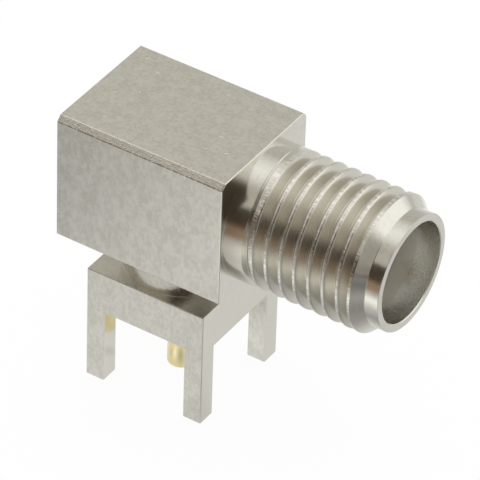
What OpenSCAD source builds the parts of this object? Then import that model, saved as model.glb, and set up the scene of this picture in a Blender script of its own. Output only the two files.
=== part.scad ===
// Right-angle coaxial socket for a circuit board: a threaded barrel turned on the end of a
// square bar, standing on a four-legged base, with a 50 ohm line that turns down through the
// base to a solder pin. Origin on the pin's axis at the base's underside, where the board
// lies. +X runs along the barrel and out of its mouth, +Z up.

/* [Block] */
// Side of the square bar that the block is cut from
bar_w = 6.5; // [6.4:0.1:7.5]
// From the pin's axis to the block's face on the barrel side
block_front = 3.9; // [3.5:0.1:5]
// From the pin's axis to the block's rear face
block_rear = 4.45; // [4:0.05:6]
// Chamfer along the bar's four long edges
edge_chamfer = 0.25; // [0.05:0.05:0.4]

/* [Barrel] */
// From the block's face to the mouth
barrel_l = 7.4; // [6.6:0.1:9]
// Major diameter of the coupling thread
thread_d = 6.26; // [6.1:0.01:6.35]
// Pitch of the coupling thread, 36 turns to the inch
thread_pitch = 0.7056; // [0.6:0.0001:0.75]
// Unthreaded length next to the block
plain_l = 0.85; // [0.5:0.05:1.5]
// Length over which the thread runs out to the unthreaded part
runout_l = 0.5; // [0.3:0.05:0.9]
// Outside diameter of the smooth nose
nose_d = 5.35; // [5.2:0.01:5.4]
// Length of the smooth nose
nose_l = 0.65; // [0.4:0.05:1]
// Bore that receives the plug's shell
bore_d = 4.6; // [4.5:0.05:4.7]
// Depth of that bore, from the mouth to the reference plane
bore_depth = 2.1; // [1.8:0.05:2.5]
// Broken edge at the mouth, inside and outside
mouth_break = 0.04; // [0.02:0.01:0.1]

/* [Coaxial line] */
// Diameter of the insulators
dielectric_d = 4.1; // [3.9:0.05:4.2]
// Diameter of the inner conductor and of the solder pin
conductor_d = 1.27; // [1.15:0.01:1.35]
// Diameter of the barbs that grip the insulators
barb_d = 1.5; // [1.4:0.02:1.6]
// Length of a barb
barb_l = 0.6; // [0.5:0.05:0.8]

/* [Socket contact] */
// Bore for the plug's pin
socket_d = 0.95; // [0.9:0.01:1]
// Depth of that bore
socket_depth = 2.6; // [2.4:0.1:3]
// Width of the slots between the spring fingers
slot_w = 0.18; // [0.12:0.02:0.24]
// Length of the slots
slot_l = 2.1; // [1.6:0.1:2.3]
// Diameter of the forked head behind the front insulator
head_d = 1.7; // [1.6:0.05:1.9]
// From the pin's axis to the front face of the head
head_front = 1.3; // [1.1:0.1:1.6]
// From the pin's axis to the open end of the fork
head_rear = 0.95; // [0.7:0.05:1.2]

/* [Solder pin] */
// Length below the board's seat
pin_l = 3.7; // [2.5:0.1:4]
// Chamfer at the pin's tip
pin_chamfer = 0.15; // [0.05:0.05:0.25]
// Diameter of the peg that is soldered into the fork
peg_d = 0.9; // [0.8:0.02:1]
// Peg's length past the fork's centre line
peg_l = 0.8; // [0.6:0.05:1]

/* [Base] */
// Leg to leg, centre to centre
leg_pitch = 5.08; // [4.9:0.02:5.5]
// Side of a square leg
leg_w = 0.92; // [0.7:0.02:1]
// Length of the legs below the board's seat
leg_l = 3.8; // [3:0.1:5]
// Chamfer round the foot of a leg
foot_chamfer = 0.08; // [0.02:0.02:0.2]
// Thickness of the base plate
plate_t = 2.1; // [1.5:0.1:3]
// Clear height between the base plate and the block
stand_off = 1.15; // [0.8:0.05:2]
// Diameter of the post in that gap
post_d = 5.4; // [5.2:0.05:5.7]
// Fillet at the foot of the post
post_fillet = 0.12; // [0.05:0.01:0.15]
// Diameter of the spigot pressed into the block
spigot_d = 4.9; // [4.7:0.05:5.1]
// Length of that spigot
spigot_l = 1; // [0.7:0.05:1.05]
// Insulator's recess above the board's seat
tail_recess = 0.3; // [0.1:0.05:0.6]

/* [Rear cap] */
// Diameter of the cap that closes the soldering hole
cap_d = 4.6; // [4.4:0.05:5]
// Thickness of the cap
cap_t = 0.9; // [0.6:0.05:1.2]
// Chamfer round the cap
cap_chamfer = 0.08; // [0.04:0.01:0.12]

/* [Fits] */
// Gap drawn on each side of a pressed piece
press_gap = 0.01; // [0.005:0.005:0.02]
// Gap filled by solder on each side of the peg
solder_gap = 0.02; // [0.01:0.005:0.04]

/* [Hidden] */
$fn = 96;
eps = 0.01;

thread_steps = 36;             // facets in one turn of the thread's flanks
thread_depth = 0.6134;         // depth of the groove, as a share of the pitch
ridge_foot = 0.97;             // width of a ridge's foot, as a share of the pitch
ridge_lead = 0.5;              // ridge's start inside the unthreaded part
ridge_sink = 0.15;             // how far a ridge's form reaches under the thread's root
crest_lead = 0.05;             // crests' start past the unthreaded part
base_w = leg_pitch + leg_w;    // outer faces of the legs and of the plate are one
block_z = plate_t + stand_off; // underside of the block
axis_z = block_z + bar_w / 2;  // height of the barrel's axis
mouth_x = block_front + barrel_l;
plane_x = mouth_x - bore_depth;            // reference plane
spigot_top = block_z + spigot_l;
tail_top = axis_z - dielectric_d / 2;      // where the downward line meets the barrel's
cap_x = cap_t - block_rear;                // inner face of the cap
front_l = plane_x - head_front;            // front insulator
front_barb = 0.3 * front_l;                // its barb, from the contact's head
tail_l = tail_top - tail_recess;           // insulator in the base
shoulder_z = axis_z - head_d / 2 - solder_gap;
fork_w = peg_d + 2 * solder_gap;

thread_r = thread_d / 2;
nose_r = nose_d / 2;
ridge_h = thread_pitch * sqrt(3) / 2;      // height of the sharp triangle
root_r = thread_r - thread_depth * thread_pitch;
lead_x = barrel_l - nose_l - (thread_r - nose_r);   // where the lead chamfer starts on the crests
lead_end = lead_x + thread_r - root_r + ridge_sink; // where it has cut below the root

// Turns a shape that stands on Z to lie along the barrel's axis
module along_barrel(x = 0) translate([x, 0, axis_z]) rotate([0, 90, 0]) children();

module rod(d, l) cylinder(h = l, d = d);

// Chamfered square prism with its middle on the Z axis
module chamfered_bar(w, c, l) linear_extrude(l) polygon([
    for (q = [0:3]) each [for (s = [-1, 1])
        let (a = q * 90, u = w / 2, v = s * (w / 2 - c))
        [u * cos(a) - v * sin(a), u * sin(a) + v * cos(a)]]]);

// The bar's solid end, from the rear face to the barrel
module block() along_barrel(-block_rear) chamfered_bar(bar_w, edge_chamfer, block_rear + block_front);

// Turned form of the barrel with the thread at its root
module barrel_core() along_barrel(block_front) rotate_extrude() polygon([
    [0, -1], [thread_r, -1], [thread_r, plain_l], [root_r, plain_l + runout_l],
    [root_r, barrel_l - nose_l - eps], [nose_r, barrel_l - nose_l - eps],
    [nose_r, barrel_l - mouth_break], [nose_r - mouth_break, barrel_l], [0, barrel_l]]);

// What the crests of the thread are turned down to, with the lead chamfer at the mouth's end
module crest_form() along_barrel(block_front) rotate_extrude() polygon([
    [0, plain_l + crest_lead], [thread_r, plain_l + crest_lead], [thread_r, lead_x],
    [root_r - ridge_sink, lead_end], [0, lead_end]]);

// One sharp helical ridge, right-handed, from the unthreaded part to the nose
module ridge() {
    start = plain_l - ridge_lead;
    steps = ceil((lead_end - start) / thread_pitch * thread_steps);
    apex_r = thread_r + ridge_h / 8;
    foot_r = apex_r - ridge_foot * ridge_h;
    foot_x = ridge_foot * thread_pitch / 2;
    section = [[0, apex_r], [foot_x, foot_r], [-foot_x, foot_r]];
    points = [for (i = [0:steps]) for (s = section)
        let (a = i * 360 / thread_steps)
        [start + i * thread_pitch / thread_steps + s[0], s[1] * cos(a), s[1] * sin(a)]];
    sides = [for (i = [0:steps - 1]) for (k = [0:2])
        let (a = 3 * i + k, b = 3 * i + (k + 1) % 3) each [[a, b, a + 3], [b, b + 3, a + 3]]];
    ends = [[2, 1, 0], [3 * steps, 3 * steps + 1, 3 * steps + 2]];
    translate([block_front, 0, axis_z]) polyhedron(points, concat(sides, ends));
}

module thread() intersection() {
    crest_form();
    ridge();
}

module body() color("gainsboro") difference() {
    union() {
        block();
        barrel_core();
        thread();
    }
    along_barrel(plane_x) rod(bore_d, bore_depth + 1);
    along_barrel(mouth_x - mouth_break)
        cylinder(h = 2 * mouth_break, d1 = bore_d, d2 = bore_d + 4 * mouth_break);
    along_barrel(cap_x - eps) rod(dielectric_d, plane_x - cap_x + 2 * eps);
    along_barrel(cap_x - cap_t - 1) rod(cap_d + 2 * press_gap, cap_t + 1);
    translate([0, 0, block_z - 1]) rod(spigot_d + 2 * press_gap, spigot_l + 1);
    translate([0, 0, block_z]) rod(dielectric_d, axis_z - block_z);
}

// Outline of a leg, from inside the plate down to its chamfered foot
module leg_outline() polygon([
    [-leg_w / 2, plate_t / 2], [-leg_w / 2, foot_chamfer - leg_l], [foot_chamfer - leg_w / 2, -leg_l],
    [leg_w / 2 - foot_chamfer, -leg_l], [leg_w / 2, foot_chamfer - leg_l], [leg_w / 2, plate_t / 2]]);

module leg() intersection_for(turn = [0, 90])
    rotate([90, 0, turn]) translate([0, 0, -leg_w / 2]) linear_extrude(leg_w) leg_outline();

// Turned top of the base: the post with its foot fillet, and the spigot above it
module post() rotate_extrude() polygon([
    [0, plate_t / 2], [post_d / 2 + post_fillet, plate_t / 2],
    for (a = [0:15:90])
        [post_d / 2 + post_fillet * (1 - sin(a)), plate_t + post_fillet * (1 - cos(a))],
    [post_d / 2, block_z], [spigot_d / 2, block_z], [spigot_d / 2, spigot_top], [0, spigot_top]]);

module base() color("gainsboro") difference() {
    union() {
        translate([-base_w / 2, -base_w / 2, 0]) cube([base_w, base_w, plate_t]);
        post();
        for (x = [-1, 1], y = [-1, 1]) translate([x * leg_pitch / 2, y * leg_pitch / 2, 0]) leg();
    }
    translate([0, 0, -1]) rod(dielectric_d, spigot_top + 2);
}

// Conductor's barb on the Z axis, with its sharp step at z = 0; play enlarges it for its seat
module barb(play = 0) rotate_extrude() polygon([
    [0, -play], [barb_d / 2 + play, -play], [conductor_d / 2 + play, barb_l + play], [0, barb_l + play]]);

// Insulator of a given length with its bore and the seat of one barb
module insulator(l, barb_at = 0) difference() {
    rod(dielectric_d - 2 * press_gap, l);
    translate([0, 0, -1]) rod(conductor_d + 2 * press_gap, l + 2);
    translate([0, 0, barb_at]) barb(press_gap);
}

module front_insulator() color("white") along_barrel(head_front) insulator(front_l, front_barb);

module tail_insulator() color("white") translate([0, 0, tail_recess]) insulator(tail_l);

module socket_contact() color("goldenrod") difference() {
    union() {
        along_barrel(-head_rear) rod(head_d, head_rear + head_front);
        along_barrel(head_front - eps) rod(conductor_d, front_l + eps);
        along_barrel(head_front + front_barb) barb();
    }
    // Bore and slots of the spring fingers
    along_barrel(plane_x - socket_depth) rod(socket_d, socket_depth + 1);
    for (turn = [0, 90]) along_barrel(plane_x - slot_l) rotate(turn)
        translate([-slot_w / 2, -conductor_d, 0]) cube([slot_w, 2 * conductor_d, slot_l + 1]);
    // Fork round the peg
    translate([0, 0, axis_z - head_d]) {
        rod(fork_w, 2 * head_d);
        translate([-head_rear - 1, -fork_w / 2, 0]) cube([head_rear + 1, fork_w, 2 * head_d]);
    }
}

// Its barb is pressed in flush with the insulator's lower face
module solder_pin() color("goldenrod") {
    rotate_extrude() polygon([
        [0, -pin_l], [conductor_d / 2 - pin_chamfer, -pin_l], [conductor_d / 2, pin_chamfer - pin_l],
        [conductor_d / 2, shoulder_z], [peg_d / 2, shoulder_z], [peg_d / 2, axis_z + peg_l],
        [0, axis_z + peg_l]]);
    translate([0, 0, tail_recess]) barb();
}

// Pressed disc, flush with the block's rear face
module rear_cap() color("gainsboro") along_barrel(-block_rear) rotate_extrude() polygon([
    [0, 0], [cap_d / 2 - cap_chamfer, 0], [cap_d / 2, cap_chamfer],
    [cap_d / 2, cap_t - cap_chamfer], [cap_d / 2 - cap_chamfer, cap_t], [0, cap_t]]);

body();
base();
front_insulator();
socket_contact();
tail_insulator();
solder_pin();
rear_cap();
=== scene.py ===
import math

import bpy
from mathutils import Matrix, Vector


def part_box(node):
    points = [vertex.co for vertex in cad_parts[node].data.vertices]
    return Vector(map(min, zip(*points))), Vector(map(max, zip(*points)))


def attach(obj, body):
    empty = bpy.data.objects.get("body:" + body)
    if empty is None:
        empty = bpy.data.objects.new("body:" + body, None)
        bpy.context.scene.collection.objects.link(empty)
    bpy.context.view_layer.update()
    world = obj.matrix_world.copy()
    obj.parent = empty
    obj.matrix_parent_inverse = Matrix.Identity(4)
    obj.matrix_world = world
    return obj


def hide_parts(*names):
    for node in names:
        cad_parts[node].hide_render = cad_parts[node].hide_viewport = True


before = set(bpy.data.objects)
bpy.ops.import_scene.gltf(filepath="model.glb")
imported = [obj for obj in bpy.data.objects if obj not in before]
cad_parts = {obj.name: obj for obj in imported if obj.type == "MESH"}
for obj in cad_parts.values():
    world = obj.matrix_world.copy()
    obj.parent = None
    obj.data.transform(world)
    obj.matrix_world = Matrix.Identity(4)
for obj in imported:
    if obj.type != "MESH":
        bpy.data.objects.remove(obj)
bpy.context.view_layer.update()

mm = 0.001  # pieces are modelled in millimetres and brought to metres when they are done


def boxOf(node):
    low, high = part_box(node)
    return low / mm, high / mm


bodyLow, bodyHigh = boxOf("body")
baseLow, baseHigh = boxOf("base")
pinLow, pinHigh = boxOf("solder_pin")
axisHeight = (bodyLow.z + bodyHigh.z) / 2  # of the barrel, above the board
barSide = bodyHigh.y - bodyLow.y
past = 1  # how far a cutting tool reaches past the work


# ---- modelling helpers

def deselectAll():
    bpy.ops.object.select_all(action="DESELECT")


def only(piece):
    deselectAll()
    piece.select_set(True)
    bpy.context.view_layer.objects.active = piece


def edit(piece):
    only(piece)
    bpy.ops.object.mode_set(mode="EDIT")


def leave():
    bpy.ops.object.mode_set(mode="OBJECT")


def pick(piece, kind, test):
    # selects the faces or edges whose middle passes the test, and goes back to edit mode
    leave()
    mesh = piece.data
    for group in (mesh.vertices, mesh.edges, mesh.polygons):
        group.foreach_set("select", [False] * len(group))
    for part in getattr(mesh, kind):
        points = [mesh.vertices[i].co for i in part.vertices]
        if test(part, sum(points, Vector()) / len(points), points):
            part.select = True
    bpy.context.tool_settings.mesh_select_mode = (False, kind == "edges", kind == "polygons")
    bpy.ops.object.mode_set(mode="EDIT")


def drawOutline(name, points, closed=False):
    # one vertex, drawn out through the points of the outline
    deselectAll()
    bpy.ops.mesh.primitive_plane_add(size=1, location=(0, 0, 0))
    piece = bpy.context.object
    piece.name = piece.data.name = name
    bpy.ops.object.mode_set(mode="EDIT")
    bpy.ops.mesh.select_mode(type="VERT")
    bpy.ops.mesh.select_all(action="SELECT")
    bpy.ops.mesh.merge(type="CENTER")
    bpy.ops.transform.translate(value=points[0])
    for start, end in zip(points, points[1:]):
        bpy.ops.mesh.extrude_region_move(TRANSFORM_OT_translate={"value": end - start})
    if closed:
        bpy.ops.mesh.select_all(action="SELECT")
        bpy.ops.mesh.edge_face_add()
        bpy.ops.mesh.delete(type="ONLY_FACE")
    leave()
    return piece


def turnPiece(name, outline, along="X", steps=144):
    # outline: pairs of place along the axis and radius
    if along == "X":
        points = [Vector((place, 0, radius)) for place, radius in outline]
    else:
        points = [Vector((radius, 0, place)) for place, radius in outline]
    piece = drawOutline(name, points)
    edit(piece)
    bpy.ops.mesh.select_all(action="SELECT")
    axis = (1, 0, 0) if along == "X" else (0, 0, 1)
    bpy.ops.mesh.spin(steps=steps, angle=2 * math.pi, center=(0, 0, 0), axis=axis)
    tidyMesh()
    return piece


def tidyMesh(gap=1e-4):
    # from edit mode: merges what meets and turns the faces outwards
    bpy.ops.mesh.select_all(action="SELECT")
    bpy.ops.mesh.remove_doubles(threshold=gap)
    bpy.ops.mesh.dissolve_degenerate(threshold=gap / 10)
    bpy.ops.mesh.select_all(action="SELECT")
    bpy.ops.mesh.normals_make_consistent(inside=False)
    leave()


def addBar(name, low, high):
    deselectAll()
    middle = (Vector(low) + Vector(high)) / 2
    bpy.ops.mesh.primitive_cube_add(size=1, location=middle)
    piece = bpy.context.object
    piece.name = piece.data.name = name
    piece.scale = Vector(high) - Vector(low)
    bpy.ops.object.transform_apply(location=True, rotation=True, scale=True)
    return piece


def combine(piece, tool, operation):
    only(piece)
    bpy.ops.object.modifier_add(type="BOOLEAN")
    step = piece.modifiers[-1]
    step.object = tool
    step.operation = operation
    step.solver = "EXACT"
    bpy.ops.object.modifier_apply(modifier=step.name)
    bpy.data.objects.remove(tool)


def softenEdges(piece, width, segments=3, sharpest=30):
    only(piece)
    bpy.ops.object.modifier_add(type="BEVEL")
    step = piece.modifiers[-1]
    step.width = width
    step.segments = segments
    step.limit_method = "ANGLE"
    step.angle_limit = math.radians(sharpest)
    step.use_clamp_overlap = True
    bpy.ops.object.modifier_apply(modifier=step.name)


def finishPiece(piece, node, shift=(0, 0, 0), smooth=32):
    # into place, to metres, and onto the body
    edit(piece)
    tidyMesh()
    piece.location = shift
    only(piece)
    bpy.ops.object.transform_apply(location=True, rotation=True, scale=True)
    bpy.ops.object.shade_smooth_by_angle(angle=math.radians(smooth))
    # flat faces keep their own normals beside the rounded edges
    bpy.ops.object.modifier_add(type="WEIGHTED_NORMAL")
    piece.modifiers[-1].keep_sharp = True
    piece.modifiers[-1].thresh = 0
    bpy.ops.object.modifier_apply(modifier=piece.modifiers[-1].name)
    piece.scale = (mm, mm, mm)
    bpy.ops.object.transform_apply(location=True, rotation=True, scale=True)
    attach(piece, "root")
    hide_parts(node)
    print(f"{piece.name}: {len(piece.data.polygons)} faces")
    return piece


# ---- body: square block and threaded barrel, one piece

block = {
    "front": 3.9,         # face on the barrel's side
    "edgeChamfer": 0.25,  # along the bar's long edges
    "edgeBreak": 0.035,   # on the edges
    "endBreak": 0.06,     # round the front
    "endSteps": 4,
    # dings on the top: place, length, width and turn
    "dings": [(-2.71, 1.75, 0.15, 0.12, 20), (-3.44, -0.37, 0.13, 0.1, 70), (-2.58, 0.18, 0.12, 0.1, 0),
              (1.96, -0.42, 0.32, 0.09, 5), (2.78, -1.27, 0.3, 0.1, 35), (1.9, -1.47, 0.16, 0.09, 50),
              (-3.67, 2.34, 0.16, 0.1, 30), (-2.83, -2.11, 0.14, 0.1, 60), (0.6, 2.2, 0.2, 0.08, 15)],
}

barrel = {
    "root": 2,              # where the barrel starts inside the block
    "threadRadius": 3.13,
    "pitch": 0.7056,
    "threadDepth": 0.45,
    "flank": 30,            # degrees off the upright
    "rootFrom": 6,          # degrees; beside the middle of the root, where its round starts
    "rootSteps": 5,
    "crestRound": 0.13,
    "crestFlat": 0.012,
    "crestSteps": 4,
    "grooveStart": 4.4264,  # middle of the groove where it points straight down
    "plainLength": 0.85,
    "runOut": 0.5,
    "lastFull": 9.98,       # the groove leaves the work past here
    "endRunOut": 0.27,
    "noseRadius": 2.675,
    "noseFillet": 0.06,
    "noseLength": 0.65,
    "filletSteps": 4,
    "boreRadius": 2.3,
    "boreDepth": 2.1,
    "mouthBreak": 0.04,
    "lineRadius": 2.05,
    "capRadius": 2.31,
    "capDepth": 0.9,
    "spigotRadius": 2.46,
    "spigotLength": 1.0,
    "stepsPerTurn": 144,
}


def makeBlock():
    half = barSide / 2
    front = block["front"]
    piece = addBar("body", (bodyLow.x, -half, -half), (front, half, half))
    edit(piece)
    # the long edges, and then those round the front
    pick(piece, "edges", lambda edge, middle, points: abs(points[0].x - points[1].x) > 1)
    bpy.ops.mesh.bevel(offset=block["edgeChamfer"], segments=1)
    pick(piece, "edges", lambda edge, middle, points: min(p.x for p in points) > front - 0.01)
    bpy.ops.mesh.bevel(offset=block["endBreak"], segments=block["endSteps"])
    leave()
    softenEdges(piece, block["edgeBreak"])
    return piece


def makeBarrelBlank():
    b = barrel
    nose, nip = b["noseRadius"], b["mouthBreak"]
    noseX = bodyHigh.x - b["noseLength"]
    leadX = noseX - (b["threadRadius"] - nose)  # the lead chamfer stands at 45 degrees
    outline = [(b["root"], 0), (b["root"], b["threadRadius"]), (leadX, b["threadRadius"])]
    fillet, steps = b["noseFillet"], b["filletSteps"]
    for part in range(steps + 1):
        turn = math.radians(45 - part * 45 / steps)
        outline.append((noseX + fillet * (math.tan(math.pi / 8) - math.sin(turn)),
                        nose + fillet * (1 - math.cos(turn))))
    # the rim's corner is rounded a little
    outline += [(bodyHigh.x - nip, nose), (bodyHigh.x - nip * 0.3, nose - nip * 0.3),
                (bodyHigh.x, nose - nip), (bodyHigh.x, 0)]
    return turnPiece("barrelBlank", outline, steps=b["stepsPerTurn"])


def makeBoreTool():
    b = barrel
    planeX = bodyHigh.x - b["boreDepth"]
    capX = bodyLow.x + b["capDepth"]
    return turnPiece("boreTool", [
        (bodyLow.x - past, 0), (bodyLow.x - past, b["capRadius"]), (capX, b["capRadius"]),
        (capX, b["lineRadius"]), (planeX, b["lineRadius"]), (planeX, b["boreRadius"]),
        (bodyHigh.x - b["mouthBreak"], b["boreRadius"]),
        (bodyHigh.x + past, b["boreRadius"] + b["mouthBreak"] + past),
        (bodyHigh.x + past, 0)], steps=b["stepsPerTurn"])


def makeStemTool():
    # hole for the spigot, and the way down for the line
    b = barrel
    bottom = -barSide / 2
    seat = bottom + b["spigotLength"]
    top = 0.01  # just past the barrel's axis
    return turnPiece("stemTool", [
        (bottom - past, 0), (bottom - past, b["spigotRadius"]), (seat, b["spigotRadius"]),
        (seat, b["lineRadius"]), (top, b["lineRadius"]), (top, 0)], along="Z", steps=96)


def grooveOutline():
    # one side of the V, from the middle of its round root to the middle of the round crest beside it
    b = barrel
    lean = math.radians(b["flank"])
    half = b["pitch"] / 2
    crest = b["crestRound"]
    crestMiddle = b["threadRadius"] - crest
    flankX = half - crest * math.cos(lean)
    flankR = crestMiddle + crest * math.sin(lean)
    apexR = flankR - flankX / math.tan(lean)
    rootRound = b["threadRadius"] - b["threadDepth"] - apexR
    points = []
    rootTurn = 90 - b["flank"] - b["rootFrom"]
    for part in range(b["rootSteps"] + 1):
        turn = math.radians(b["rootFrom"] + rootTurn * part / b["rootSteps"])
        points.append((rootRound * math.sin(turn), apexR + rootRound * (2 - math.cos(turn))))
    crestTurn = math.acos(b["crestFlat"] / 2 / crest) - lean
    for part in range(b["crestSteps"] + 1):
        turn = lean + crestTurn * part / b["crestSteps"]
        points.append((half - crest * math.cos(turn), crestMiddle + crest * math.sin(turn)))
    return points + [(points[-1][0], b["threadRadius"] + 0.05)]  # and out of the work


def makeGrooveTool():
    # what the thread's tool takes away, round and round the barrel
    b = barrel
    half = grooveOutline()
    section = [(-x, r) for x, r in reversed(half)] + half
    points = [Vector((b["grooveStart"] + x, 0, -r)) for x, r in section]
    piece = drawOutline("grooveTool", points, closed=True)
    only(piece)
    turns = (bodyHigh.x - b["noseLength"] + b["pitch"] / 2 - b["grooveStart"]) / b["pitch"]
    bpy.ops.object.modifier_add(type="SCREW")
    step = piece.modifiers[-1]
    step.axis = "X"
    step.angle = 2 * math.pi * turns
    step.screw_offset = b["pitch"] * turns
    step.steps = step.render_steps = round(b["stepsPerTurn"] * turns)
    step.use_merge_vertices = False
    bpy.ops.object.modifier_apply(modifier=step.name)
    # the tool is drawn out of the work towards the block, and again in the lead chamfer
    fullX = block["front"] + b["plainLength"] + b["runOut"]
    for vertex in piece.data.vertices:
        early = (fullX - vertex.co.x) / b["runOut"]
        late = (vertex.co.x - b["lastFull"]) / b["endRunOut"]
        lift = max(0, early, late) * b["threadDepth"]
        radius = math.hypot(vertex.co.y, vertex.co.z)
        vertex.co.yz = vertex.co.yz * ((radius + lift) / radius)
    edit(piece)
    bpy.ops.mesh.select_all(action="SELECT")
    bpy.ops.mesh.fill_holes(sides=0)
    tidyMesh()
    return piece


def makeBody():
    piece = makeBlock()
    combine(piece, makeBarrelBlank(), "UNION")
    combine(piece, makeBoreTool(), "DIFFERENCE")
    combine(piece, makeStemTool(), "DIFFERENCE")
    combine(piece, makeGrooveTool(), "DIFFERENCE")
    return finishPiece(piece, "body", shift=(0, 0, axisHeight))


bodyPiece = makeBody()
bodyPiece.name = "body_shell"


# ---- base: plate, four legs, post and spigot, one piece

base = {
    "legWidth": 0.92,
    "plateThickness": 2.1,
    "postRadius": 2.7,
    "postFillet": 0.03,
    "spigotRadius": 2.45,
    "boreRadius": 2.05,
    "footBreak": 0.06,
    "edgeBreak": 0.045,
    "filletSteps": 6,
}


def makeBase():
    b = base
    piece = addBar("base_frame", (baseLow.x, baseLow.y, 0), (baseHigh.x, baseHigh.y, b["plateThickness"]))
    inner = baseHigh.x - b["legWidth"]
    near = 1e-4
    edit(piece)
    for axis in ((1, 0, 0), (0, 1, 0)):
        for side in (-1, 1):
            bpy.ops.mesh.select_all(action="SELECT")
            bpy.ops.mesh.bisect(plane_co=Vector(axis) * side * inner, plane_no=axis)
    # the corners of the underside become the legs
    pick(piece, "polygons", lambda face, middle, points:
         middle.z < near and abs(middle.x) > inner and abs(middle.y) > inner)
    bpy.ops.mesh.extrude_region_move(TRANSFORM_OT_translate={"value": (0, 0, baseLow.z)})
    pick(piece, "edges", lambda edge, middle, points: max(p.z for p in points) < baseLow.z + near)
    bpy.ops.mesh.bevel(offset=b["footBreak"], segments=3)
    bpy.ops.mesh.select_all(action="SELECT")
    bpy.ops.mesh.dissolve_limited(angle_limit=math.radians(1))
    leave()
    softenEdges(piece, b["edgeBreak"])
    fillet, post, steps = b["postFillet"], b["postRadius"], b["filletSteps"]
    start = 1  # inside the plate
    outline = [(start, 0), (start, post + fillet)]
    for part in range(steps + 1):
        turn = math.radians(part * 90 / steps)
        outline.append((b["plateThickness"] + fillet * (1 - math.cos(turn)),
                        post + fillet * (1 - math.sin(turn))))
    outline += [(bodyLow.z, post), (bodyLow.z, b["spigotRadius"]),
                (baseHigh.z, b["spigotRadius"]), (baseHigh.z, 0)]
    combine(piece, turnPiece("post", outline, along="Z"), "UNION")
    top = baseHigh.z + past
    bore = [(-past, 0), (-past, b["boreRadius"]), (top, b["boreRadius"]), (top, 0)]
    combine(piece, turnPiece("boreTool", bore, along="Z"), "DIFFERENCE")
    return finishPiece(piece, "base")


basePiece = makeBase()


# ---- the line inside: insulators, socket contact and solder pin

line = {
    "conductorRadius": 0.635,
    "barbRadius": 0.75,
    "barbLength": 0.6,
    "gap": 0.01,
    "headRadius": 0.85,
    "headFront": 1.3,
    "headRear": 0.95,
    "frontBarb": 2.37,       # from the head
    "socketRadius": 0.475,
    "socketDepth": 2.6,
    "drillTip": 0.25,
    "slotWidth": 0.18,
    "slotLength": 2.1,
    "forkWidth": 0.94,
    "pegRadius": 0.45,
    "pegChamfer": 0.06,
    "shoulder": 0.87,        # of the pin, below the barrel's axis
    "tipChamfer": 0.15,
    "tailBottom": 0.3,
    "mouthBreak": 0.05,
}
planeX = bodyHigh.x - barrel["boreDepth"]


def insulatorOutline(start, end, barb):
    # a tube with the seat of one barb in its bore, from its lower end round to the same point
    i, play = line, line["gap"]
    r = i["conductorRadius"] + play
    outer = base["boreRadius"] - play
    outline = [(start, outer), (end, outer), (end, r), (barb + i["barbLength"] + play, r),
               (barb - play, i["barbRadius"] + play)]
    if barb - play > start:
        outline += [(barb - play, r), (start, r)]
    else:
        outline[-1] = (start, i["barbRadius"] + play)  # the barb sits at the end
    return outline + [(start, outer)]


def makeInsulators():
    head, bottom = line["headFront"], line["tailBottom"]
    front = turnPiece("front_dielectric", insulatorOutline(head, planeX, head + line["frontBarb"]))
    finishPiece(front, "front_insulator", shift=(0, 0, axisHeight))
    top = axisHeight - base["boreRadius"]
    tail = turnPiece("tail_dielectric", insulatorOutline(bottom, top, bottom), along="Z")
    finishPiece(tail, "tail_insulator")
    return front, tail


def makeContact():
    i = line
    barb = i["headFront"] + i["frontBarb"]
    r = i["conductorRadius"]
    nip = i["mouthBreak"]
    head, rear = i["headRadius"], -i["headRear"]
    piece = turnPiece("contact", [
        (rear, 0), (rear, head - nip), (rear + nip, head), (i["headFront"], head), (i["headFront"], r),
        (barb, r), (barb, i["barbRadius"]), (barb + i["barbLength"], r),
        (planeX - nip, r), (planeX, r - nip), (planeX, 0)], steps=72)
    bottom, hole = planeX - i["socketDepth"], i["socketRadius"]
    bore = turnPiece("socketTool", [
        (bottom - i["drillTip"], 0), (bottom, hole), (planeX - nip, hole),
        (planeX + nip, hole + 2 * nip), (planeX + nip, 0)], steps=72)
    combine(piece, bore, "DIFFERENCE")
    half, through = i["slotWidth"] / 2, r + 0.1
    for wide, high in ((half, through), (through, half)):
        slot = addBar("slotTool", (planeX - i["slotLength"], -wide, -high), (planeX + past, wide, high))
        combine(piece, slot, "DIFFERENCE")
    # the fork: an open way from the rear, with a round end for the peg
    half, tall, taller = i["forkWidth"] / 2, 2, 2.1
    way = addBar("forkTool", (rear - past, -half, -tall), (0, half, tall))
    eye = turnPiece("eyeTool", [(-taller, 0), (-taller, half), (taller, half), (taller, 0)],
                    along="Z", steps=72)
    combine(way, eye, "UNION")
    combine(piece, way, "DIFFERENCE")
    return finishPiece(piece, "socket_contact", shift=(0, 0, axisHeight))


def makePin():
    i = line
    r, nip = i["conductorRadius"], i["tipChamfer"]
    tip, barb, shoulder = pinLow.z, i["tailBottom"], axisHeight - i["shoulder"]
    peg, chamfer = i["pegRadius"], i["pegChamfer"]
    # the corners of the tip are rounded a little
    piece = turnPiece("tail_pin", [
        (tip, 0), (tip, r - nip), (tip + nip * 0.2, r - nip * 0.7), (tip + nip * 0.8, r - nip * 0.1),
        (tip + nip, r), (barb, r), (barb, i["barbRadius"]), (barb + i["barbLength"], r),
        (shoulder, r), (shoulder, peg), (pinHigh.z - chamfer, peg), (pinHigh.z, peg - chamfer),
        (pinHigh.z, 0)], along="Z", steps=96)
    return finishPiece(piece, "solder_pin")


cap = {"radius": 2.3, "chamfer": 0.08}


def makeCap():
    inner = bodyLow.x + barrel["capDepth"]
    r, c = cap["radius"], cap["chamfer"]
    piece = turnPiece("end_disc", [(bodyLow.x, 0), (bodyLow.x, r - c), (bodyLow.x + c * 0.4, r - c * 0.25),
                                   (bodyLow.x + c, r), (inner - c, r), (inner, r - c), (inner, 0)])
    return finishPiece(piece, "rear_cap", shift=(0, 0, axisHeight))


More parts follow.
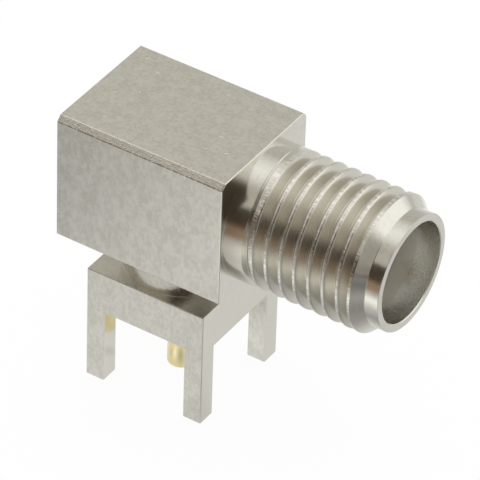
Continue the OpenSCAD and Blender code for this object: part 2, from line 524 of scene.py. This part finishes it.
frontInsulator, tailInsulator = makeInsulators()
contactPiece = makeContact()
pinPiece = makePin()
capPiece = makeCap()


# ---- finishes

class Wire:
    # a socket that sums can be written with
    def __init__(self, tree, socket):
        self.tree, self.socket = tree, socket

    def maths(self, operation, *values):
        made = self.tree.nodes.new("ShaderNodeMath")
        made.operation = operation
        for socket, value in zip(made.inputs, values):
            joinUp(self.tree, socket, value)
        return Wire(self.tree, made.outputs[0])

    def __add__(self, other):
        return self.maths("ADD", self, other)

    def __sub__(self, other):
        return self.maths("SUBTRACT", self, other)

    def __rsub__(self, other):
        return self.maths("SUBTRACT", other, self)

    def __mul__(self, other):
        return self.maths("MULTIPLY", self, other)

    def __truediv__(self, other):
        return self.maths("DIVIDE", self, other)

    def __pow__(self, other):
        return self.maths("POWER", self, other)

    __radd__ = __add__
    __rmul__ = __mul__

    def least(self, other):
        return self.maths("MINIMUM", self, other)

    def most(self, other):
        return self.maths("MAXIMUM", self, other)

    def size(self):
        return self.maths("ABSOLUTE", self)

    def fade(self, start, end, low=0.0, high=1.0):
        # low up to start, high past end, and smooth between them
        made = self.tree.nodes.new("ShaderNodeMapRange")
        made.interpolation_type = "SMOOTHSTEP"
        for socket, value in zip(made.inputs, (self, start, end, low, high)):
            joinUp(self.tree, socket, value)
        return Wire(self.tree, made.outputs[0])


def joinUp(tree, socket, value):
    if isinstance(value, Wire):
        tree.links.new(value.socket, socket)
    else:
        socket.default_value = value


class Finish:
    def __init__(self, name, tree=None):
        if tree is None:
            self.material = bpy.data.materials.new(name)
            self.material.use_nodes = True
            tree = self.material.node_tree
        self.tree = tree
        self.tree.nodes.clear()

    def node(self, kind, settings=None, inputs=None, output=0):
        made = self.tree.nodes.new("ShaderNode" + kind)
        for key, value in (settings or {}).items():
            if key == "stops":
                setStops(made.color_ramp, value)
            else:
                setattr(made, key, value)
        for key, value in (inputs or {}).items():
            joinUp(self.tree, made.inputs[key], value)
        return Wire(self.tree, made.outputs[output])

    def place(self):
        # the point on the piece in millimetres
        spot = self.node("TexCoord", output="Object")
        parts = self.node("SeparateXYZ", inputs={0: spot})
        return [Wire(self.tree, socket) * (1 / mm) for socket in parts.socket.node.outputs]

    def noise(self, place, scale, detail=2.0, rough=0.5):
        # scale: how fast it changes along x, y and z
        parts = {number: part * size for number, (part, size) in enumerate(zip(place, scale))}
        where = self.node("CombineXYZ", inputs=parts)
        return self.node("TexNoise", inputs={"Vector": where, "Scale": 1.0, "Detail": detail,
                                             "Roughness": rough})

    def blendColours(self, share, first, second):
        made = self.tree.nodes.new("ShaderNodeMix")
        made.data_type = "RGBA"
        joinUp(self.tree, made.inputs[0], share)
        joinUp(self.tree, made.inputs[6], first)
        joinUp(self.tree, made.inputs[7], second)
        return Wire(self.tree, made.outputs[2])

    def bump(self, height, distance):
        # a height of 1 rises by the distance, in millimetres
        return self.node("Bump", inputs={"Height": height, "Strength": 1.0, "Distance": distance * mm})

    def show(self, surface):
        output = self.tree.nodes.new("ShaderNodeOutputMaterial")
        joinUp(self.tree, output.inputs["Surface"], surface)
        return self.material


def setStops(ramp, stops):
    while len(ramp.elements) > 1:
        ramp.elements.remove(ramp.elements[-1])
    for number, (place, colour) in enumerate(stops):
        stop = ramp.elements[0] if number == 0 else ramp.elements.new(place)
        stop.position = place
        stop.color = colour


plating = {
    "colour": (0.85, 0.835, 0.785, 1),
    "dull": (0.72, 0.70, 0.64, 1),
    # painted highlight, for the crests, chamfer nicks and dings
    "paintedGlint": (0.97, 0.96, 0.94, 1),
    # painted shade, for the bore, the corner by the block and the base's plate top
    "shadeColour": (0.56, 0.52, 0.45, 1),
    "worn": (0.74, 0.71, 0.63, 1),
    "satin": 0.29,     # roughness of the block's faces
    "fine": 0.23,      # of the base's
    "smooth": 0.13,    # of the base's sawn ends
    "turned": 0.17,    # of what the lathe has cut
    "threaded": 0.25,
    "bored": 0.27,
    "uneven": 0.06,    # how much the grain changes the roughness
    # scales of the noise
    "fineGrain": (6, 6, 3.6),
    "coarseGrain": (1.6, 1.6, 1.2),
    "grainSpan": (0.34, 0.66),
    "latheMarks": (16, 0.6, 0.6),
    "burrs": (1.5, 6, 6),
    "nicks": (6, 9, 9),
}
noiseSpan = (0.3, 0.7)  # of most values of a noise

# where finishes and marks come in on the body, as spans in millimetres, and how strong they are
wear = {
    "turnedFrom": (block["front"] - 0.06, block["front"] - 0.02),
    "threadFrom": (4.9, 5.1),
    "threadTill": (10.1, 10.2),
    "boreFrom": (planeX - 0.1, planeX),
    "boreRadius": (barrel["boreRadius"] + 0.01, barrel["boreRadius"] + 0.03),
    # painted shade in the bore, full deep in and gone towards the mouth
    "boreShadeSpan": (planeX + 1.6, planeX + 0.2),
    "topHeight": (3.2, 3.24),      # over the barrel's axis
    "chamferReach": (6.2, 6.24),   # up and across together
    # crests: burr relief, and a painted highlight in the colour
    "crestRadius": (3.10, 3.125),
    "burrSpan": (0.45, 0.6),
    "nickSpan": (0.52, 0.66),
    "topTone": 0.42,               # the top's grain is drawn towards it
    "topEven": 0.3,
    "latheDepth": 0.8,
    "latheShare": 0.7,
    "threadWear": 0.5,
    # share of painted glint on the chamfer's nicks
    "chamferGlint": 0.6,
    # painted shade in the corner between block and barrel, which reaches out further where it's lower
    "cornerShadeFrom": (block["front"], block["front"] + 0.04),
    "cornerShadeTill": 5.1,
    "cornerShadeReach": (-1.6, -0.9, 4.6, block["front"]),
    "cornerShadeHeight": (0.8, 3, 0.9, 0),
    "polish": 0.6,                 # dings and nicks are this much smoother
    # heights of the marks, as shares of the relief
    "grainRise": 0.5,
    "crestRise": 0.7,
    "nickRise": 1.5,
    "dingFall": 1.4,
    "relief": 0.005,
}

# the same for the base
sawn = {
    "legInside": (0, 0.03),
    "underPlate": (-0.03, 0),
    "ends": (baseHigh.x - 0.05, baseHigh.x - 0.01),
    "plateTop": (base["plateThickness"] - 0.03, base["plateThickness"]),
    "tone": 0.55,
    "even": 0.85,
    "topShade": 0.33,
    "relief": 0.0025,
}

# drawn wire, with fine lines along it
gold = {
    "pale": (0.96, 0.86, 0.53, 1),
    "full": (0.90, 0.78, 0.44, 1),
    "roughness": (0.05, 0.09),
    "lines": (5, 5, 0.5),
    "relief": 0.002,
}

# turned fluoropolymer
white = {
    "pale": (0.78, 0.78, 0.76, 1),
    "full": (0.72, 0.72, 0.70, 1),
    "roughness": (0.42, 0.55),
    "rings": (12, 2, 0),
    "relief": 0.002,
}


def makeGrain(f, place):
    # fine speckle, a little drawn out up and down
    fine = f.noise(place, plating["fineGrain"])
    coarse = f.noise(place, plating["coarseGrain"])
    return (fine * 0.6 + coarse * 0.4).fade(*plating["grainSpan"])


def makeSpot(f, x, y, length, width, turn):
    # 1 in the middle of a small long spot, 0 outside it
    turn = math.radians(turn)
    along = (x * math.cos(turn) + y * math.sin(turn)) * (2 / length)
    across = (y * math.cos(turn) - x * math.sin(turn)) * (2 / width)
    return (along * along + across * across).fade(0.2, 1, 1, 0)


def makeBodyPlating():
    # satin block with dings on its top, turned barrel, rougher bore; painted highlights on the crests,
    # chamfer nicks and dings, and painted shade deep in the bore and in the corner by the block
    f = Finish("body_plating")
    p, w = plating, wear
    x, y, z = f.place()
    z = z - axisHeight
    radius = (y * y + z * z) ** 0.5
    turned = x.fade(*w["turnedFrom"])
    threaded = x.fade(*w["threadFrom"]) * x.fade(*w["threadTill"], 1, 0)
    bore = x.fade(*w["boreFrom"]) * radius.fade(*w["boreRadius"], 1, 0)
    top = z.fade(*w["topHeight"])

    grain = makeGrain(f, (x, y, z))
    grain = grain + (w["topTone"] - grain) * top * w["topEven"]
    rings = f.noise((x + radius, y, z), p["latheMarks"], detail=4, rough=0.6)
    rings = (rings - 0.5) * w["latheDepth"] + 0.5
    mark = grain + (rings - grain) * turned * w["latheShare"]
    # burrs along the crests: raised, and with a painted highlight
    burr = f.noise((x, y, z), p["burrs"], detail=3, rough=0.8)
    crest = radius.fade(*w["crestRadius"]) * threaded * burr.fade(*w["burrSpan"])
    # nicks on the chamfer: raised, smoother, and with a painted glint
    nick = f.noise((x, y, z), p["nicks"], rough=0.7)
    strip = (y.size() + z.size()).fade(*w["chamferReach"]) * (1 - turned) * nick.fade(*w["nickSpan"])
    # dings on the top: sunk, smoother, and with a painted glint
    ding = 0.0
    for placeX, placeY, length, width, turn in block["dings"]:
        ding = makeSpot(f, x - placeX, y - placeY, length, width, turn) + ding
    ding = ding * top
    # painted shade in the corner between block and barrel
    cornerShade = x.fade(*w["cornerShadeFrom"]) * x.fade(z.fade(*w["cornerShadeReach"]), w["cornerShadeTill"], 1, 0)
    cornerShade = cornerShade * z.fade(*w["cornerShadeHeight"])

    colour = f.blendColours(mark, p["dull"], p["colour"])
    colour = f.blendColours(threaded * w["threadWear"], colour, p["worn"])
    # painted shade deep in the bore and in that corner
    shadeShare = (bore * x.fade(*w["boreShadeSpan"])).most(cornerShade)
    colour = f.blendColours(shadeShare, colour, p["shadeColour"])
    # painted highlights on the crests, chamfer nicks and dings
    paintedGlint = (crest + strip * w["chamferGlint"] + ding).least(1)
    colour = f.blendColours(paintedGlint, colour, p["paintedGlint"])

    rough = p["satin"] + turned * (p["turned"] - p["satin"])
    rough = rough + threaded * (p["threaded"] - p["turned"]) + bore * (p["bored"] - p["turned"])
    rough = rough + (mark - 0.5) * p["uneven"]
    rough = rough * (1 - (ding + strip).least(1) * w["polish"])
    height = mark * w["grainRise"] + crest * w["crestRise"] + strip * w["nickRise"] - ding * w["dingFall"]
    return f.show(f.node("BsdfPrincipled", inputs={
        "Base Color": colour, "Metallic": 1.0, "Roughness": rough, "Normal": f.bump(height, w["relief"])}))


def makeBasePlating():
    # satin sides, smoother and more even on the sawn ends, with painted shade on the plate's top under the
    # block
    f = Finish("base_plating")
    p, w = plating, sawn
    x, y, z = f.place()
    grain = makeGrain(f, (x, y, z))
    across = x.size()
    leg = (across - (baseHigh.x - base["legWidth"])).size()
    inner = leg.fade(*w["legInside"], 1, 0) * z.fade(*w["underPlate"], 1, 0)
    end = across.fade(*w["ends"]).most(inner)
    mark = grain + (w["tone"] - grain) * end * w["even"]
    colour = f.blendColours(mark, p["dull"], p["colour"])
    # painted shade on the plate's top, under the block
    colour = f.blendColours(z.fade(*w["plateTop"]) * w["topShade"], colour, p["shadeColour"])
    rough = p["fine"] + (mark - 0.5) * p["uneven"] - end * (p["fine"] - p["smooth"])
    return f.show(f.node("BsdfPrincipled", inputs={
        "Base Color": colour, "Metallic": 1.0, "Roughness": rough, "Normal": f.bump(mark, w["relief"])}))


def makeGold(name):
    f = Finish(name)
    mark = f.noise(f.place(), gold["lines"], detail=3)
    colour = f.blendColours(mark.fade(*noiseSpan), gold["pale"], gold["full"])
    return f.show(f.node("BsdfPrincipled", inputs={
        "Base Color": colour, "Metallic": 1.0, "Roughness": mark.fade(*noiseSpan, *gold["roughness"]),
        "Normal": f.bump(mark, gold["relief"])}))


def makeFluoropolymer(name):
    f = Finish(name)
    x, y, z = f.place()
    radius = (y * y + (z - axisHeight) ** 2) ** 0.5
    ring = f.noise((radius, x, 0.0), white["rings"])
    colour = f.blendColours(ring.fade(*noiseSpan), white["pale"], white["full"])
    return f.show(f.node("BsdfPrincipled", inputs={
        "Base Color": colour, "Roughness": ring.fade(*noiseSpan, *white["roughness"]),
        "Normal": f.bump(ring, white["relief"])}))


def dress(piece, material):
    piece.data.materials.clear()
    piece.data.materials.append(material)


bodyFinish = makeBodyPlating()
baseFinish = makeBasePlating()
goldFinish = makeGold("gold_finish")
whiteFinish = makeFluoropolymer("white_finish")
dress(bodyPiece, bodyFinish)
dress(capPiece, bodyFinish)
dress(basePiece, baseFinish)
for piece in (contactPiece, pinPiece):
    dress(piece, goldFinish)
for piece in (frontInsulator, tailInsulator):
    dress(piece, whiteFinish)
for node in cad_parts.values():
    finish = bodyFinish
    if "pin" in node.name or "contact" in node.name:
        finish = goldFinish
    elif "insulator" in node.name:
        finish = whiteFinish
    dress(node, finish)
print("finishes done")


# ---- studio: pale floor, soft light, camera

studio = {
    "floorSide": 600,      # mm
    "paper": (0.9, 0.9, 0.895, 1),
    "glow": 0.95,          # of the floor, as it's seen directly
    "lampSide": 90,
    "lampPlace": (-30, 40, 150),
    "lampPower": 0.03,
    # what metal mirrors of the floor, with painted shade: close by, far out in front and straight ahead
    # there
    "near": (0.72, 0.715, 0.69, 1),
    "far": (0.30, 0.21, 0.14, 1),
    "ahead": (0.38, 0.36, 0.33, 1),
    "reach": (16, 46),     # in front, from close by to far out
    "aside": (-14, -8),    # to the side, from the shade ahead to the far one
    "slant": 0.25,         # of the line between those two
    # painted pools of light and shadow on it: place, size and strength
    "pools": [(4, -17, 10, 0.6), (9, -5, 7.5, -0.45), (4.5, -4, 3.8, -0.3), (17, -5, 11, -0.4),
              (3.2, -10, 5.2, -0.36), (-1, -13, 7, -0.08), (1, -2, 5, 0.08), (0, 22, 16, 0.5),
              (-17, -14, 16, -0.45), (44, -12, 40, -0.85), (110, -50, 80, -0.8), (-1.1, -1.2, 0.5, -0.2),
              (-0.35, -1.8, 0.7, 0.3), (0.8, -1.5, 1.1, -0.42), (-1.8, 0.1, 0.8, 0.25),
              (2, 1, 1.6, 0.15), (-0.6, -4.9, 1.6, -0.28)],
    # what metal mirrors of the room, by angle from behind, over the top, to the front and under
    "round": [(-90, (0.57, 0.57, 0.55)), (-8, (0.585, 0.575, 0.55)), (12, (0.54, 0.53, 0.50)),
              (43, (0.505, 0.485, 0.43)), (62, (0.80, 0.79, 0.75)), (82, (0.99, 0.98, 0.94)),
              (96, (0.85, 0.84, 0.80)), (110, (0.54, 0.52, 0.48)), (122, (0.46, 0.43, 0.38)),
              (133, (0.54, 0.51, 0.45)), (143, (0.52, 0.49, 0.43)), (149, (0.05, 0.04, 0.028)),
              (174, (0.06, 0.042, 0.027)), (184, (0.30, 0.21, 0.14)), (269.9, (0.30, 0.21, 0.14))],
    # and patches of it: way there, colour, and how close a ray comes before it shows and till it's full
    "patches": [((0.72, 0.55, 0.42), (1.08, 1.07, 1.04, 1), 0.74, 0.94),
                ((0.93, -0.25, 0.28), (0.37, 0.355, 0.31, 1), 0.88, 1.0),
                ((0.43, -0.62, 0.66), (0.04, 0.028, 0.017, 1), 0.9, 0.97),
                ((0, -1, 0), (0.36, 0.345, 0.32, 1), 0.95, 0.995)],
}

view = {
    "azimuth": 32.09,
    "elevation": 38.47,
    "roll": 2.02,
    "distance": 208.8,
    "aside": 2.472,
    "above": 2.394,
    "lens": 360.7,
    "sensor": 36,
    "clip": (0.01, 5),  # metres
}


def makeFloor():
    deselectAll()
    bpy.ops.mesh.primitive_plane_add(size=studio["floorSide"] * mm, location=(0, 0, baseLow.z * mm))
    floor = bpy.context.object
    floor.name = "floor"
    f = Finish("floor_paper")
    lit = f.node("BsdfDiffuse", inputs={"Color": studio["paper"]})
    pale = f.node("Emission", inputs={"Color": (1, 1, 1, 1), "Strength": 1.0})
    seen = f.node("LightPath", output="Is Camera Ray")
    paper = f.node("MixShader", inputs={0: seen * studio["glow"], 1: lit, 2: pale})
    x, y = f.place()[:2]
    aside = (y * studio["slant"] - x).fade(*studio["aside"])
    shade = f.blendColours(aside, studio["ahead"], studio["far"])
    shade = f.blendColours((y * -1).fade(*studio["reach"]), studio["near"], shade)
    strength = 1.0
    for poolX, poolY, size, gain in studio["pools"]:
        distance = ((x - poolX) ** 2 + (y - poolY) ** 2) ** 0.5
        strength = strength + distance.fade(0, size, gain, 0)
    # the floor glows with this painted light and shadow, for glossy rays only
    mirrored = f.node("Emission", inputs={"Color": shade, "Strength": strength})
    glossy = f.node("LightPath", output="Is Glossy Ray")
    dress(floor, f.show(f.node("MixShader", inputs={0: glossy, 1: paper, 2: mirrored})))


def makeWorld():
    world = bpy.data.worlds.new("studio")
    bpy.context.scene.world = world
    world.use_nodes = True
    f = Finish("studio", world.node_tree)
    way = f.node("TexCoord", output="Generated")
    parts = f.node("SeparateXYZ", inputs={0: way}).socket.node.outputs
    x, y, z = (Wire(f.tree, socket) for socket in parts)
    # 0 at straight down, through behind, up and front, to 1 at straight down again
    turn = z.maths("ARCTAN2", z, y) / (2 * math.pi) + 0.25
    stops = [((angle + 90) / 360, (*colour, 1)) for angle, colour in studio["round"]]
    room = f.node("ValToRGB", {"stops": stops}, {"Fac": turn.maths("FRACT", turn)})
    for (wayX, wayY, wayZ), colour, least, most in studio["patches"]:
        room = f.blendColours((x * wayX + y * wayY + z * wayZ).fade(least, most), room, colour)
    mirrored = f.node("Background", inputs={"Color": room, "Strength": 1.0})
    plain = f.node("Background", inputs={"Color": (1, 1, 1, 1), "Strength": 1.0})
    glossy = f.node("LightPath", output="Is Glossy Ray")
    f.tree.nodes.new("ShaderNodeOutputWorld")
    joinUp(f.tree, f.tree.nodes[-1].inputs["Surface"],
           f.node("MixShader", inputs={0: glossy, 1: plain, 2: mirrored}))


def makeLamp():
    place = studio["lampPlace"]
    bpy.ops.object.light_add(type="AREA", location=[part * mm for part in place])
    lamp = bpy.context.object
    lamp.name = "softbox"
    lamp.data.shape = "SQUARE"
    lamp.data.size = studio["lampSide"] * mm
    lamp.data.energy = studio["lampPower"]
    lamp.rotation_euler = Vector(place).to_track_quat("Z", "Y").to_euler()
    lamp.visible_glossy = False


def makeCamera():
    turn, rise, roll = (math.radians(view[key]) for key in ("azimuth", "elevation", "roll"))
    back = Vector((math.sin(turn) * math.cos(rise), -math.cos(turn) * math.cos(rise), math.sin(rise)))
    level = Vector((math.cos(turn), math.sin(turn), 0))
    over = back.cross(level)
    right = level * math.cos(roll) + over * math.sin(roll)
    up = over * math.cos(roll) - level * math.sin(roll)
    spot = (back * view["distance"] + right * view["aside"] + up * view["above"]) * mm
    bpy.ops.object.camera_add(location=spot)
    camera = bpy.context.object
    camera.matrix_world = Matrix.Translation(spot) @ Matrix((right, up, back)).transposed().to_4x4()
    camera.data.lens = view["lens"]
    camera.data.sensor_width = view["sensor"]
    camera.data.clip_start, camera.data.clip_end = view["clip"]
    bpy.context.scene.camera = camera


makeFloor()
makeWorld()
makeLamp()
makeCamera()
bpy.context.scene.view_settings.view_transform = "Standard"
print("studio done")
